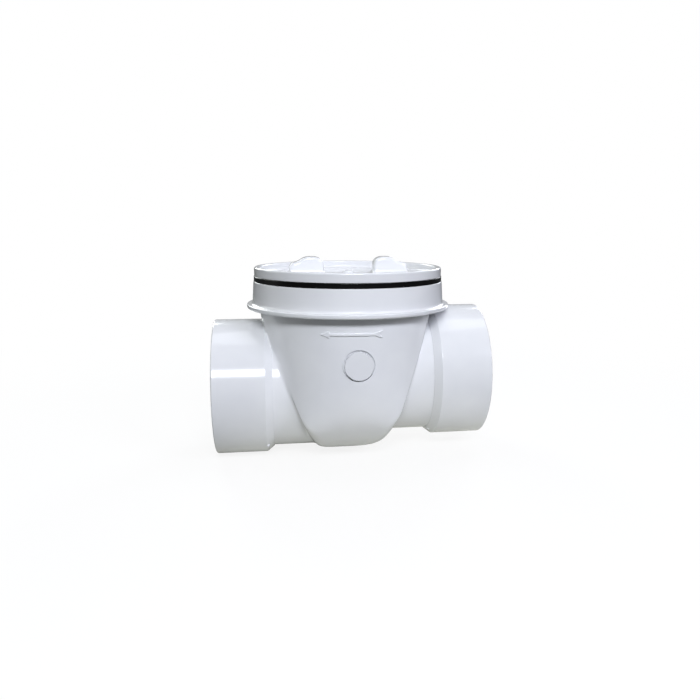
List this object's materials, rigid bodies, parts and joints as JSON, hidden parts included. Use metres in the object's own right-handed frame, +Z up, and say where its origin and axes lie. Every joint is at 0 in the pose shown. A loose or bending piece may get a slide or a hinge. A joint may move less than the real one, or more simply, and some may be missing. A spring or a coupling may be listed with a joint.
{
  "type": "backwater valve",
  "caption": "White PVC drain backwater valve: offset pipe hubs, sloping-walled chamber, screwed access cover on a gasket, hinged gravity flapper on a slanted seat.",
  "frame": {"origin": "middle of the length, on the collar's axis, at the lowest line of the outlet hub", "axes": "+X from outlet to inlet along the pipe, +Z up along the access collar, -Y the front with the flow arrow"},
  "size_m": [0.254, 0.192, 0.1874],
  "materials": {
    "pvc_white": "injection-moulded white PVC, glossy",
    "pvc_inner": "moulded PVC, satin",
    "rubber": "black moulded rubber",
    "steel": "stainless steel",
    "acetal": "turned acetal"
  },
  "bodies": {
    "valve_body": {"chamber": "pvc_white", "inlet_hub": "pvc_white", "outlet_hub": "pvc_white", "access_collar": "pvc_white", "seat_ring": "pvc_inner", "hinge_bracket": "pvc_inner", "bracket_screws": "steel", "hinge_pin": "steel", "pin_clips": "steel"},
    "flapper_door": {"flapper": "pvc_inner", "flapper_seal": "rubber", "seal_clamp_plate": "pvc_inner", "clamp_screws": "steel", "hinge_bush_front": "acetal", "hinge_bush_rear": "acetal"},
    "cover_seal": {"cover_gasket": "rubber"},
    "cover_plug": {"cover": "pvc_white"}
  },
  "joints": [
    {"name": "flapper_swing", "type": "hinge", "parent": "valve_body", "child": "flapper_door", "pos_m": [0.05466, 0, 0.14139], "axis": [0, 1, 0], "range_deg": [0, 70]},
    {"name": "cover_rise", "type": "slide", "parent": "valve_body", "child": "cover_seal", "axis": [0, 0, 1], "range_m": [0, 0.021]},
    {"name": "cover_unscrew", "type": "hinge", "parent": "cover_seal", "child": "cover_plug", "pos_m": [0, 0, 0.165], "axis": [0, 0, 1], "range_deg": [0, 1260]}
  ],
  "couplings": [
    {"joint": "cover_rise", "follows": "cover_unscrew", "m_per_rad": 0.00095493}
  ]
}
